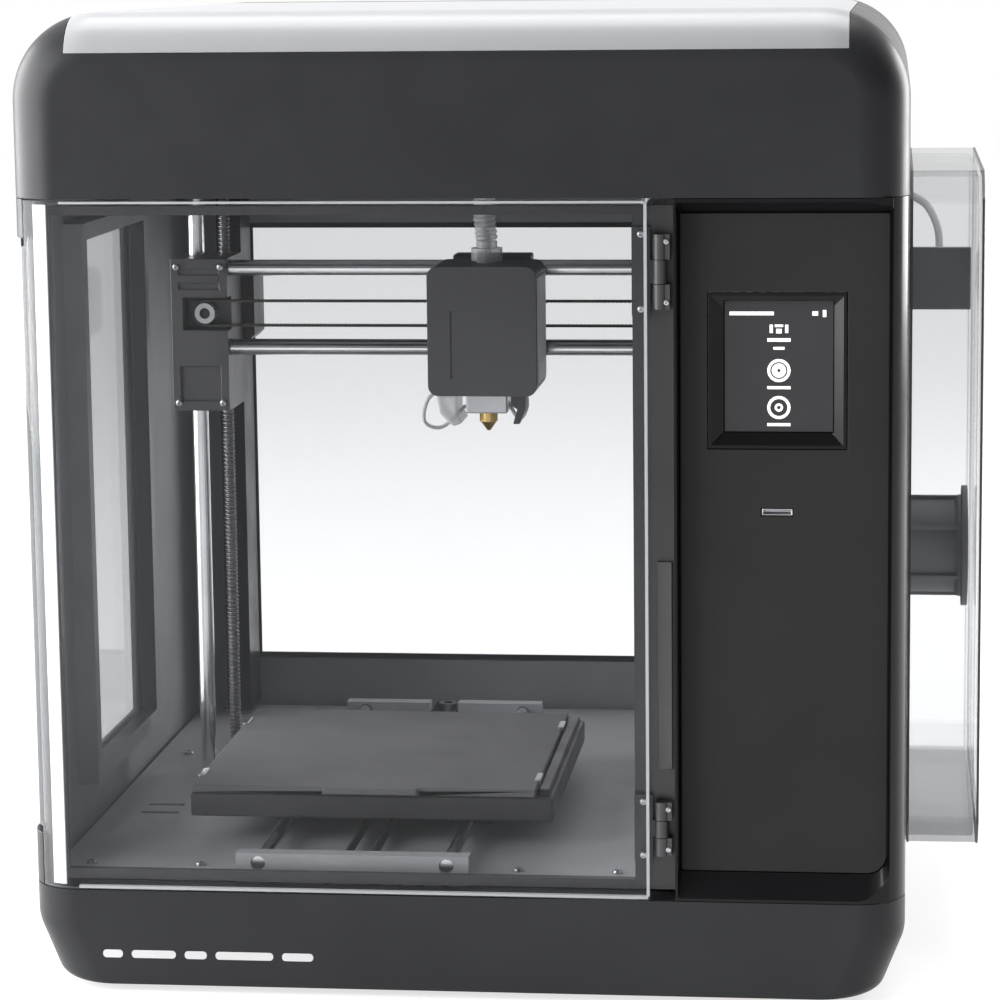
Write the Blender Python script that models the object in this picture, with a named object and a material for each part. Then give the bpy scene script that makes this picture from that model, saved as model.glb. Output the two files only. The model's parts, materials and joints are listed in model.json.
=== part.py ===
"""Enclosed desktop 3-D printer with a clear front door, a top lid, a control column
on the right and a covered spool bay on its right side.

Metres, +Z up, front towards -Y.  The origin is on the resting plane, under the middle
of the machine's overall width and depth.  Dimensions below are millimetres.
"""
import math

import bmesh
import bpy
from mathutils import Matrix, Vector

MM = 0.001
GAP = 0.3                      # clearance between neighbouring pieces

# Overall envelope
LEFT, RIGHT = -211.5, 178.0    # housing; the spool cover reaches further right
FRONT, BACK = -182.5, 182.5
BOTTOM, TOP = 3.0, 433.0
COVER_RIGHT = 211.5
WALL = 3.0
TOP_CORNER = 38.0
LEAN = 22.0                     # degrees off vertical of the slope below each side
SIDE_ROUND, SIDE_ROUND_Z = 20.0, 33.9   # where the side turns into the slope
FOOT_ROUND, FOOT_REACH = 8.0, 16.3      # where the slope turns into the underside
FRONT_FILLET, BACK_FILLET = 22.0, 6.0

# Horizontal bands of the front
CHIN_TOP = 46.0
HEADER_BOTTOM = 353.5
LID_SEAM = 416.0

# Door
DOOR_AXIS = (72.0, -179.2)     # x, y of the vertical hinge line
DOOR_RIGHT = 67.0
DOOR_HINGES = {"upper": (306.0, 338.0), "lower": (66.0, 90.0)}
LIP_LOW, LIP_HIGH = 78.0, 328.0

# Chamber
FLOOR_TOP = 49.3
FRAME_FRONT, FRAME_BACK = -175.8, -172.0
PARTITION = 65.0
ROOF = 350.0

# Motion system
ROD = 4.0
Z_ROD_LEFT, SCREW_LEFT = (-172.5, 28.0), (-158.5, 28.0)
Z_ROD_RIGHT, SCREW_RIGHT = (54.0, 24.0), (54.0, 36.0)
SCREW = 3.0
X_RODS = {"upper": 300.0, "lower": 261.0}
X_ROD_Y = 12.0
BELT_Z = 277.8
PULLEY = 5.0
BELT = 1.2
X_PULLEYS = {"drive": -165.0, "idler": 54.0}
HEAD_X, HEAD_Y = -22.4, -14.0
RISE = 6.0      # rest height of gantry and head above the height they are drawn at
BED_X, BED_Y = -67.5, -32.0
BED_WIDTH, BED_DEPTH = 169.0, 160.0
PLATE_TOP = 77.0
BED_ROD, BED_ROD_Z = 3.0, 55.5
BED_RODS = {"left": -110.0, "right": -25.0}
Y_MOTOR_Y = 158.0

# Right-hand column and spool bay
PANEL = (80.0, 170.0, 57.8, 346.6)      # x and z limits of the recessed fascia
PANEL_FACE = -174.8
BEZEL = (92.0, 152.0, 245.0, 313.0)
SCREEN = (99.0, 146.0, 252.0, 309.0)
BAY = (104.0, -95.0, 97.0, 60.0, 274.0)  # back x, y and z limits of the bay tray
HUB_Z = 173.0

parts = bpy.data.collections.new("enclosed_desktop_printer")
cutters = bpy.data.collections.new("cutters")


# ---------------------------------------------------------------- materials

def material(name, colour, roughness, metallic=0.0, alpha=1.0):
    made = bpy.data.materials.new(name)
    made.use_nodes = True
    shader = made.node_tree.nodes["Principled BSDF"]
    shader.inputs["Base Color"].default_value = (*colour, 1.0)
    shader.inputs["Roughness"].default_value = roughness
    shader.inputs["Metallic"].default_value = metallic
    shader.inputs["Alpha"].default_value = alpha
    return made


PALETTE = {
    "housing_plastic": ((0.045, 0.046, 0.05), 0.4),
    "gloss_black": ((0.008, 0.008, 0.009), 0.15),
    "chamber_plastic": ((0.09, 0.09, 0.095), 0.55),
    "clear_acrylic": ((0.85, 0.87, 0.88), 0.05, 0.0, 0.3),
    "frosted_lid": ((0.8, 0.81, 0.82), 0.3, 0.0, 0.8),
    "black_plastic": ((0.02, 0.02, 0.022), 0.45),
    "screen_glass": ((0.05, 0.05, 0.055), 0.1),
    "steel_rod": ((0.7, 0.71, 0.73), 0.18, 1.0),
    "screw_steel": ((0.2, 0.2, 0.21), 0.35, 1.0),
    "motor_case": ((0.03, 0.03, 0.033), 0.4, 0.6),
    "aluminium": ((0.62, 0.63, 0.65), 0.35, 1.0),
    "brass": ((0.7, 0.5, 0.2), 0.3, 1.0),
    "belt_rubber": ((0.015, 0.015, 0.016), 0.8),
    "build_surface": ((0.12, 0.12, 0.125), 0.6),
    "circuit_board": ((0.02, 0.13, 0.06), 0.5),
    "translucent_plastic": ((0.8, 0.81, 0.8), 0.35, 0.0, 0.6),
}


# ---------------------------------------------------------------- solids

def finish(mesh, name, collection, slot=None, sharp=30.0):
    """Link a millimetre mesh as an object, in metres."""
    mesh.transform(Matrix.Scale(MM, 4))
    made = bpy.data.objects.new(name, mesh)
    collection.objects.link(made)
    mesh.shade_smooth()
    mesh.set_sharp_from_angle(angle=math.radians(sharp))
    if slot:
        mesh.materials.clear()
        mesh.materials.append(materials[slot])
    if collection is cutters:
        made.hide_render = True
        made.display_type = "WIRE"
    return made


def box_mesh(low, high, bevel=0.0, taper=None, segments=2):
    """Box between two corners.  taper=(direction, inset) shrinks one end's outline."""
    mesh = bpy.data.meshes.new("box")
    work = bmesh.new()
    bmesh.ops.create_cube(work, size=1.0)
    low, high = Vector(low), Vector(high)
    for vertex in work.verts:
        vertex.co = Vector(
            (h if c > 0 else l) for c, l, h in zip(vertex.co, low, high)
        )
    if taper:
        axis, end, insets = taper
        middle = (low + high) / 2
        for vertex in work.verts:
            if (vertex.co[axis] > middle[axis]) == (end > 0):
                for other, inset in insets.items():
                    towards = -1 if vertex.co[other] > middle[other] else 1
                    vertex.co[other] += towards * inset
    if bevel:
        bmesh.ops.bevel(work, geom=work.edges[:], offset=bevel, segments=segments,
                        profile=0.5, affect="EDGES", clamp_overlap=True)
    work.to_mesh(mesh)
    work.free()
    return mesh


def cylinder_mesh(centre, radius, length, axis="Z", sides=24, tip=None):
    """Cylinder or cone frustum centred on a point, along one axis."""
    mesh = bpy.data.meshes.new("cylinder")
    work = bmesh.new()
    bmesh.ops.create_cone(work, cap_ends=True, segments=sides, radius1=radius,
                          radius2=radius if tip is None else tip, depth=length)
    turn = {"X": Matrix.Rotation(math.pi / 2, 4, "Y"),
            "Y": Matrix.Rotation(-math.pi / 2, 4, "X"),
            "Z": Matrix.Identity(4)}[axis]
    bmesh.ops.transform(work, matrix=Matrix.Translation(centre) @ turn, verts=work.verts)
    work.to_mesh(mesh)
    work.free()
    return mesh


def loft_mesh(rings):
    """Closed skin through rings of points with equal counts, with a flat face at each end."""
    work = bmesh.new()
    rings = [[work.verts.new(point) for point in ring] for ring in rings]
    for near, far in zip(rings, rings[1:]):
        for i in range(len(near)):
            work.faces.new((near[i - 1], near[i], far[i], far[i - 1]))
    work.faces.new(rings[0])
    work.faces.new(rings[-1])
    bmesh.ops.recalc_face_normals(work, faces=work.faces)
    mesh = bpy.data.meshes.new("loft")
    work.to_mesh(mesh)
    work.free()
    return mesh


def outline_mesh(points, low, high, axis="Y"):
    """Prism of a flat outline.  Points are (x, z) for axis Y, (y, z) for X, (x, y) for Z."""
    stand = {"Z": lambda u, v, w: (u, v, w), "Y": lambda u, v, w: (u, w, v),
             "X": lambda u, v, w: (w, u, v)}[axis]
    return loft_mesh([[stand(u, v, w) for u, v in points] for w in (low, high)])


def tube_object(name, route, radius, slot):
    """Bent round bar along a smooth route, as a closed mesh."""
    curve = bpy.data.curves.new(name, "CURVE")
    curve.dimensions = "3D"
    curve.bevel_depth = radius
    curve.bevel_resolution = 2
    curve.use_fill_caps = True
    spline = curve.splines.new("POLY")
    spline.points.add(len(route) - 1)
    for point, place in zip(spline.points, route):
        point.co = (*place, 1)
    bent = bpy.data.objects.new(name, curve)
    bpy.context.scene.collection.objects.link(bent)
    bpy.context.view_layer.update()
    evaluated = bent.evaluated_get(bpy.context.evaluated_depsgraph_get())
    mesh = bpy.data.meshes.new_from_object(evaluated)
    work = bmesh.new()
    work.from_mesh(mesh)
    bmesh.ops.remove_doubles(work, verts=work.verts, dist=0.0001)
    bmesh.ops.recalc_face_normals(work, faces=work.faces)
    work.to_mesh(mesh)
    work.free()
    bpy.data.objects.remove(bent)
    bpy.data.curves.remove(curve)
    return finish(mesh, name, parts, slot)


def smooth_route(points, steps=4):
    """Catmull-Rom points through a list of places."""
    places = [Vector(p) for p in points]
    ends = [places[0] * 2 - places[1], *places, places[-1] * 2 - places[-2]]
    route = []
    for a, b, c, d in zip(ends, ends[1:], ends[2:], ends[3:]):
        for i in range(steps):
            t = i / steps
            route.append(0.5 * ((2 * b) + (c - a) * t + (2 * a - 5 * b + 4 * c - d) * t * t
                                + (3 * b - a - 3 * c + d) * t ** 3))
    return [*route, places[-1]]


def part(name, mesh, slot, add=(), cut=(), keep=(), then_add=(), at=(0, 0, 0)):
    """A sub-part: its base solid, joined with, cut by or limited to other solids.

    A turning piece is drawn about its own axis and then placed at a point on that axis.
    """
    made = finish(mesh, name, parts, slot)
    made.location = Vector(at) * MM
    for operation, tools in (("INTERSECT", keep), ("UNION", add), ("DIFFERENCE", cut),
                             ("UNION", then_add)):
        for tool in tools:
            helper = finish(tool, name + "_tool", cutters)
            helper.location = made.location
            modifier = made.modifiers.new(operation.lower(), "BOOLEAN")
            modifier.operation = operation
            modifier.solver = "EXACT"
            modifier.object = helper
    return made


def combined(first, second, operation):
    """The mesh of two solids joined or limited to what they share, in millimetres."""
    base, tool = (finish(mesh, "combined", cutters) for mesh in (first, second))
    modifier = base.modifiers.new("combine", "BOOLEAN")
    modifier.operation = operation
    modifier.solver = "EXACT"
    modifier.object = tool
    bpy.context.view_layer.update()
    evaluated = base.evaluated_get(bpy.context.evaluated_depsgraph_get())
    mesh = bpy.data.meshes.new_from_object(evaluated)
    mesh.transform(Matrix.Scale(1 / MM, 4))
    for helper in (base, tool):
        bpy.data.objects.remove(helper)
    return mesh


# ---------------------------------------------------------------- housing form

def corner(cx, cz, radius, start, sweep=90.0, steps=7):
    """Arc of points, counter-clockwise from an angle in degrees."""
    return [(cx + radius * math.cos(math.radians(start + sweep * i / steps)),
             cz + radius * math.sin(math.radians(start + sweep * i / steps)))
            for i in range(steps + 1)]


def housing_outline(inset, draw_in):
    """Front view of the housing; draw_in brings in the sides and top, not the underside."""
    left, right = LEFT + inset + draw_in, RIGHT - inset - draw_in
    low, high = BOTTOM + inset, TOP - inset - draw_in
    top, side, foot = TOP_CORNER - inset - draw_in, SIDE_ROUND - inset, FOOT_ROUND - inset
    reach = FOOT_REACH - inset
    return (corner(right - top, high - top, top, 0)
            + corner(left + top, high - top, top, 90)
            + corner(left + side, SIDE_ROUND_Z, side, 180, LEAN, 2)
            + corner(left + reach, low + foot, foot, 180 + LEAN, 90 - LEAN, 4)
            + corner(right - reach, low + foot, foot, 270, 90 - LEAN, 4)
            + corner(right - side, SIDE_ROUND_Z, side, 360 - LEAN, LEAN, 2))


def housing_form(inset):
    """The outer form of the machine, set in by a distance on all sides: a loft of its
    outline, drawn in round the front and back edges along their fillets."""
    sections = []
    for radius, face, inwards, steps in ((FRONT_FILLET - inset, FRONT + inset, 1, 6),
                                         (BACK_FILLET - inset, BACK - inset, -1, 2)):
        arc = [(face + inwards * radius * (1 - math.cos(math.pi / 2 * i / steps)),
                radius * (1 - math.sin(math.pi / 2 * i / steps))) for i in range(steps + 1)]
        sections += arc if inwards > 0 else reversed(arc)
    return loft_mesh([[(x, y, z) for x, z in housing_outline(inset, draw_in)]
                      for y, draw_in in sections])


def housing_shell():
    """The housing's skin, one wall thick: the outer form less the inner one."""
    outer, inner = housing_form(0.0), housing_form(WALL)
    work = bmesh.new()
    work.from_mesh(inner)
    bmesh.ops.reverse_faces(work, faces=work.faces[:])
    work.from_mesh(outer)
    mesh = bpy.data.meshes.new("housing_shell")
    work.to_mesh(mesh)
    work.free()
    return mesh


# ---------------------------------------------------------------- groups of parts

def build_housing():
    side_low, side_high = CHIN_TOP + GAP, HEADER_BOTTOM - GAP
    feet = [cylinder_mesh((x, y, 2.5), 11, 5.0, sides=20)
            for x in (-165, 130) for y in (-150, 150)]
    part("base_housing", housing_shell(), "housing_plastic",
         keep=[box_mesh((-220, -190, -5), (220, 190, CHIN_TOP))],
         add=[box_mesh((-188, -179.8, 42.5), (160, -166, CHIN_TOP)), *feet],
         cut=[box_mesh((86, 170, 12), (114, 190, 34)),      # mains inlet
              box_mesh((121.5, 170, 13.5), (136.5, 190, 36.5))])    # power switch

    lid_cut = box_mesh((-184.3, -190, LID_SEAM - GAP), (152.3, 150.3, 440))
    ledge = box_mesh((-192, -179, 410), (160, 158, 413))
    ledge_opening = box_mesh((-174, -160, 405), (142, 138, 420))
    part("top_housing", housing_shell(), "housing_plastic",
         keep=[box_mesh((-220, -190, HEADER_BOTTOM), (220, 190, 440))],
         add=[box_mesh((-188, -179.8, HEADER_BOTTOM), (160, -168, HEADER_BOTTOM + 3)), ledge,
              *[box_mesh((x, 143, 408), (x + 12, 162, 426)) for x in (-150, 106)]],
         cut=[lid_cut, ledge_opening])

    window = ((-220, -88, 80), (-190, 29, 328))
    part("left_side_panel", housing_shell(), "housing_plastic",
         keep=[outline_mesh([(-220, -190), (-205.6, -190), (-205.6, -160.5), (-180, -160.5),
                             (-180, 190), (-220, 190)], side_low, side_high, "Z")],
         add=[box_mesh((-209, -96, 72), (-199, 37, 336)),
              box_mesh((-209, 8, 342), (-150, 44, ROOF))],
         cut=[box_mesh(*window),
              box_mesh((-209.3, -91, 77), (-206.7, 32, 331)),
              box_mesh((-220, -182, LIP_LOW - 8), (-203, -158, LIP_HIGH + 8)),
              cylinder_mesh((*Z_ROD_LEFT, 345), ROD + GAP, 30),
              cylinder_mesh((*SCREW_LEFT, 345), SCREW + GAP, 30)])
    part("left_window", box_mesh((-209.0, -90.7, 77.3), (-207.0, 31.7, 330.7)), "clear_acrylic")

    part("rear_panel", housing_shell(), "housing_plastic",
         keep=[box_mesh((-180 + GAP, 170, side_low), (164.7, 190, side_high))],
         add=[box_mesh((-188, 152, 52), (-175, 179.2, ROOF)),
              box_mesh((-179.5, 170, 60), (-175.2, 180.5, 340))],
         cut=[box_mesh((-174, 150, 78), (55, 190, 312)),
              box_mesh((-177, 179.5, 75), (58, 181.5, 315))])
    part("rear_window", box_mesh((-176.7, 179.8, 75.3), (57.7, 181.2, 314.7)), "clear_acrylic")

    part("right_side_panel", housing_shell(), "housing_plastic",
         keep=[box_mesh((165, -150, side_low), (220, 190, side_high))],
         cut=[box_mesh((160, BAY[1] + 5, BAY[3] + 5), (190, BAY[2] - 5, BAY[4] - 5)),
              box_mesh((160, -6, 290), (190, 6, 302))])
    back, y_low, y_high, z_low, z_high = BAY
    part("spool_bay_tray", box_mesh((back, y_low, z_low), (174.7, y_high, z_high)),
         "chamber_plastic",
         cut=[box_mesh((back + 3, y_low + 3, z_low + 3), (190, y_high - 3, z_high - 3))],
         then_add=[cylinder_mesh((153.5, 1, HUB_Z), 9, 95, "X", 24)])
    part("partition_wall", box_mesh((PARTITION, -171.5, FLOOR_TOP + GAP), (68, 174, ROOF)),
         "chamber_plastic",
         add=[box_mesh((45, 17, 342), (66, 46, ROOF)),
              cylinder_mesh((62, 127, 330), 7, 12, "X", 16)],
         cut=[cylinder_mesh((*Z_ROD_RIGHT, 345), ROD + GAP, 30),
              cylinder_mesh((*SCREW_RIGHT, 345), SCREW + GAP, 30)])
    floor_cuts = [cylinder_mesh((*SCREW_LEFT, 48), SCREW + 1, 10),
                  cylinder_mesh((*SCREW_RIGHT, 48), SCREW + 1, 10),
                  cylinder_mesh((BED_X, Y_MOTOR_Y, 48), 4, 10)]
    rod_mounts = [box_mesh((BED_RODS["left"] - 10, y - 4, 47), (BED_RODS["right"] + 10, y + 4, 60))
                  for y in (-163.5, 143.5)]
    rod_holes = [cylinder_mesh((x, -10, BED_ROD_Z), BED_ROD + GAP, 340, "Y")
                 for x in BED_RODS.values()]
    belt_way = box_mesh((BED_X - 7.5, 130, FLOOR_TOP), (BED_X + 7.5, 150, 65))
    part("chamber_floor", box_mesh((-205, -164, CHIN_TOP + GAP), (172, 176, FLOOR_TOP)),
         "chamber_plastic", add=rod_mounts, cut=[*floor_cuts, *rod_holes, belt_way])


def build_door():
    part("door_frame", box_mesh((-200, FRAME_FRONT, 49.6), (77.6, FRAME_BACK, ROOF)),
         "black_plastic",
         cut=[box_mesh((-194, -180, 54), (60, -165, 346))])

    lip = outline_mesh([(-220, LIP_LOW), (-205.2, LIP_LOW - 5), (-205.2, LIP_HIGH + 5),
                        (-220, LIP_HIGH)], -173.5 - 4.5, -168.8)
    main = box_mesh((-205.3, -190, CHIN_TOP + 0.6), (DOOR_RIGHT, -165, HEADER_BOTTOM - 0.9))
    part("door_panel", housing_shell(), "clear_acrylic", keep=[combined(main, lip, "UNION")])

    for which, (low, high) in DOOR_HINGES.items():
        middle, third = (low + high) / 2, (high - low) / 3
        part(f"door_hinge_{which}",
             cylinder_mesh((*DOOR_AXIS, (low + high) / 2), 1.2, high - low, sides=16),
             "black_plastic",
             add=[cylinder_mesh((*DOOR_AXIS, low + third / 2), 3.0, third, sides=20),
                  cylinder_mesh((*DOOR_AXIS, high - third / 2), 3.0, third, sides=20),
                  box_mesh((71.5, -181.0, low), (76.5, -176.2, low + third)),
                  box_mesh((71.5, -181.0, high - third), (76.5, -176.2, high))])
        inner = third - 2 * GAP
        part(f"door_leaf_{which}",
             cylinder_mesh((*DOOR_AXIS, middle), 3.0, inner, sides=20), "black_plastic",
             add=[box_mesh((60, -179.1, low - 3), (68, -177.0, high + 3)),
                  box_mesh((66, -179.1, middle - inner / 2), (72, -177.2, middle + inner / 2))],
             cut=[cylinder_mesh((*DOOR_AXIS, middle), 1.2 + GAP, 60, sides=16)])


def build_lid_and_cover():
    part("lid_panel", housing_shell(), "frosted_lid",
         keep=[box_mesh((-184, -190, LID_SEAM), (152, 150, 440))])

    x_low, x_high, y_low, y_high, z_low, z_high = 178.4, COVER_RIGHT, -102.0, 103.0, 50.0, 359.0
    outer = [(y_low, z_low + 12), (y_low + 12, z_low), (y_high - 12, z_low), (y_high, z_low + 12),
             (y_high, z_high - 12), (y_high - 12, z_high), (y_low + 12, z_high),
             (y_low, z_high - 12)]
    inset = WALL * 0.8
    inner = [(y + (inset if y < 0 else -inset), z + (inset if z < 200 else -inset))
             for y, z in outer]
    cover = outline_mesh(outer, x_low, x_high, "X")
    part("spool_cover", cover, "clear_acrylic",
         cut=[outline_mesh(inner, x_low - 5, x_high - inset, "X")])

    part("spool_hub", cylinder_mesh((184, 1, HUB_Z), 24.5, 42, "X", 36), "black_plastic",
         add=[cylinder_mesh((205.8, 1, HUB_Z), 29, 3, "X", 36)],
         cut=[cylinder_mesh((184, 1, HUB_Z), 9 + 0.6, 80, "X", 24)])

    slanted = [(-20, 289), (20, 296), (20, 312), (-20, 319)]
    part("filament_guide", outline_mesh(slanted, 178.4, 207.5, "X"), "black_plastic",
         cut=[cylinder_mesh((193, 0, 296), 1.5, 60, "Z", 12)])


def column_outline(left, right, low, high, round_corner):
    """Front outline of the fascia or its mouth: how far each side stands outside the
    fascia's limits, and the radius of the rounded lower right corner."""
    x0, x1, z0, z1 = PANEL[0] + left, PANEL[1] + right, PANEL[2] + low, PANEL[3] + high
    return (corner(x1 - 1, z1 - 1, 1, 0, steps=2) + corner(x0 + 1, z1 - 1, 1, 90, steps=2)
            + corner(x0 + 1, z0 + 1, 1, 180, steps=2)
            + corner(x1 - round_corner, z0 + round_corner, round_corner, 270))


def build_column():
    x_low, x_high, z_low, z_high = PANEL
    seat = PANEL_FACE + 3.3
    mouth = loft_mesh([[(x, y, z) for x, z in column_outline(*reach)] for y, reach in (
        (FRONT - 1.5, (-1.0, 1.6, -12.2, 6.0, 12)), (PANEL_FACE, (0.0, 0.2, 0.0, 0.4, 9)),
        (seat, (0.0, 0.2, 0.0, 0.4, 9)))])
    part("control_surround", housing_shell(), "gloss_black",
         keep=[box_mesh((78, -190, CHIN_TOP + GAP), (220, -150.3, HEADER_BOTTOM - GAP))],
         add=[box_mesh((78, -180, CHIN_TOP + GAP), (171, -168, HEADER_BOTTOM - GAP))],
         cut=[mouth, box_mesh((x_low + 4, -190, z_low + 8), (x_high - 6, -160, z_high - 4))])

    bx0, bx1, bz0, bz1 = BEZEL
    part("control_panel",
         outline_mesh(column_outline(0.4, -0.2, 0.4, 0.0, 8.6), PANEL_FACE, PANEL_FACE + 3),
         "housing_plastic",
         cut=[box_mesh((bx0, -180, bz0), (bx1, -165, bz1)),
              box_mesh((115, -180, 216), (129, -165, 219.5))])
    sx0, sx1, sz0, sz1 = SCREEN
    part("screen_bezel",
         box_mesh((bx0 + GAP, PANEL_FACE, bz0 + GAP), (bx1 - GAP, PANEL_FACE + 9, bz1 - GAP)),
         "gloss_black",
         cut=[box_mesh((bx0 + 1.5, -180, bz0 + 1.5), (bx1 - 1.5, PANEL_FACE + 4, bz1 - 1.5),
                       taper=(1, 1, {0: 5.5, 2: 5.5})),
              box_mesh((sx0, -180, sz0), (sx1, -150, sz1))])
    part("touch_screen",
         box_mesh((sx0 + GAP, PANEL_FACE + 4, sz0 + GAP), (sx1 - GAP, PANEL_FACE + 8, sz1 - GAP)),
         "screen_glass")


def build_electronics():
    part("power_inlet", box_mesh((86.4, 160, 12.4), (113.6, 182.4, 33.6)), "black_plastic",
         add=[box_mesh((83, 176, 10), (117, 179.2, 36))],
         cut=[box_mesh((89, 168, 15), (111, 190, 31))])
    part("power_switch", box_mesh((-6.5, -12, -10.5), (6.5, 1.9, 10.5), bevel=0.8),
         "black_plastic", at=(129, 180.5, 25))
    part("main_board", box_mesh((-100, -90, 14), (20, 60, 16)), "circuit_board",
         add=[box_mesh((-80, -60, 15.9), (-50, -30, 28)), box_mesh((-30, 10, 15.9), (5, 45, 24))])
    part("power_supply", box_mesh((76, -60, 8), (153, 100, 40), bevel=1.5), "aluminium")


def motor(x, y, z_low, z_high, size=35.0):
    return box_mesh((x - size / 2, y - size / 2, z_low), (x + size / 2, y + size / 2, z_high),
                    bevel=3.0, segments=1)


def build_z_axis():
    for side, (x, y) in {"left": Z_ROD_LEFT, "right": Z_ROD_RIGHT}.items():
        part(f"z_rod_{side}", cylinder_mesh((x, y, (49.6 + 349) / 2), ROD, 349 - 49.6), "steel_rod")
    for side, (x, y) in {"left": SCREW_LEFT, "right": SCREW_RIGHT}.items():
        part(f"lead_screw_{side}", cylinder_mesh((0, 0, (46.2 + 348) / 2), SCREW, 348 - 46.2),
             "screw_steel", at=(x, y, 0))
        part(f"z_motor_{side}", motor(x, y, 10, 45.8), "motor_case")


def build_bed():
    for side, x in BED_RODS.items():
        part(f"bed_rod_{side}", cylinder_mesh((x, -10, BED_ROD_Z), BED_ROD, 312, "Y"), "steel_rod")
    left, right = BED_RODS["left"] - 9, BED_RODS["right"] + 9
    part("bed_carriage", box_mesh((left, BED_Y - 40, 50.3), (right, BED_Y + 40, 61.7)),
         "black_plastic",
         cut=[box_mesh((left + 20, BED_Y - 60, 48), (right - 20, BED_Y + 60, 58.5)),
              *[cylinder_mesh((x, BED_Y, BED_ROD_Z), BED_ROD + GAP, 140, "Y")
                for x in BED_RODS.values()]])
    x0, x1 = BED_X - BED_WIDTH / 2, BED_X + BED_WIDTH / 2
    y0, y1 = BED_Y - BED_DEPTH / 2, BED_Y + BED_DEPTH / 2
    part("heated_bed", box_mesh((x0, y0, 62), (x1, y1, 73), bevel=1.2), "black_plastic",
         add=[box_mesh((x1 - 7, y0 + 6, 72), (x1 - 2, y1 - 4, 76))])
    part("build_plate", box_mesh((x0 + 1, y0 + 2, 73.3), (x1 - 8, y1 - 2, PLATE_TOP), bevel=0.5),
         "build_surface", add=[box_mesh((BED_X - 22, y0 - 3, 74), (BED_X + 22, y0 + 5, PLATE_TOP))])
    part("y_motor", motor(BED_X, Y_MOTOR_Y, 10, 45.8), "motor_case",
         add=[cylinder_mesh((BED_X, Y_MOTOR_Y, 50), 2.2, 13, sides=16)])
    part("y_drive_pulley", cylinder_mesh((0, 0, 53.5), PULLEY, 5.4, sides=20), "aluminium",
         cut=[cylinder_mesh((0, 0, 53.5), 2.6, 20, sides=16)], at=(BED_X, Y_MOTOR_Y, 0))
    part("y_belt", belt_mesh("Z", (BED_X, -150), (BED_X, Y_MOTOR_Y), 51, 56), "belt_rubber",
         cut=[belt_mesh("Z", (BED_X, -150), (BED_X, Y_MOTOR_Y), 45, 60, 0.0)])


def belt_mesh(axis, start, end, low, high, thickness=BELT, steps=8):
    """Racetrack round two pulleys, solid; its hole is the same form with no thickness."""
    radius = PULLEY + GAP + thickness
    run = Vector(end) - Vector(start)
    heading = math.atan2(run.y, run.x)
    points = []
    for centre, turn in ((Vector(end), heading - math.pi / 2),
                         (Vector(start), heading + math.pi / 2)):
        for i in range(steps + 1):
            angle = turn + math.pi * i / steps
            points.append((centre.x + radius * math.cos(angle),
                           centre.y + radius * math.sin(angle)))
    return outline_mesh(points, low, high, axis)


def build_gantry():
    part("gantry_left_block", box_mesh((-181, 5, 230), (-153, 42, 305), bevel=1.0), "black_plastic",
         at=(0, 0, RISE),
         cut=[*[cylinder_mesh((-60, X_ROD_Y, z), ROD + GAP, 236, "X") for z in X_RODS.values()],
              cylinder_mesh((*Z_ROD_LEFT, 267), ROD + GAP, 100),
              cylinder_mesh((*SCREW_LEFT, 267), SCREW + GAP, 100),
              cylinder_mesh((X_PULLEYS["drive"], 25, BELT_Z), 2.2 + GAP, 60, "Y", 16),
              box_mesh((-175, 0, BELT_Z - 8), (-150, 15, BELT_Z + 8))])
    part("gantry_right_block", box_mesh((46, 5, 230), (62, 42, 305), bevel=1.0), "black_plastic",
         at=(0, 0, RISE), add=[box_mesh((48, 6, 304), (60, 16, 312))],
         cut=[*[cylinder_mesh((-60, X_ROD_Y, z), ROD + GAP, 236, "X") for z in X_RODS.values()],
              cylinder_mesh((*Z_ROD_RIGHT, 267), ROD + GAP, 110),
              cylinder_mesh((*SCREW_RIGHT, 267), SCREW + GAP, 110),
              box_mesh((40, 0, BELT_Z - 8), (60.8, 15, BELT_Z + 8))])
    for name, z in X_RODS.items():
        part(f"x_rod_{name}", cylinder_mesh((-60, X_ROD_Y, z), ROD, 235, "X"), "steel_rod",
             at=(0, 0, RISE))
    ends = [(X_PULLEYS["drive"], BELT_Z), (X_PULLEYS["idler"], BELT_Z)]
    part("x_belt", belt_mesh("Y", *ends, 8.5, 13.5), "belt_rubber", at=(0, 0, RISE),
         cut=[belt_mesh("Y", *ends, 0, 20, 0.0)])
    for name, x in X_PULLEYS.items():
        bore = [cylinder_mesh((0, 0, 0), 2.6, 20, "Y", 16)] if name == "drive" else []
        part(f"x_{name}_pulley", cylinder_mesh((0, 0, 0), PULLEY, 5.4, "Y", 20), "aluminium",
             cut=bore, at=(x, 11, BELT_Z + RISE))
    x = X_PULLEYS["drive"]
    part("x_motor", box_mesh((x - 17.5, 42.3, BELT_Z - 17.5), (x + 17.5, 74, BELT_Z + 17.5),
                             bevel=3.0, segments=1), "motor_case", at=(0, 0, RISE),
         add=[cylinder_mesh((x, 27, BELT_Z), 2.2, 34, "Y", 16)])


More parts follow.
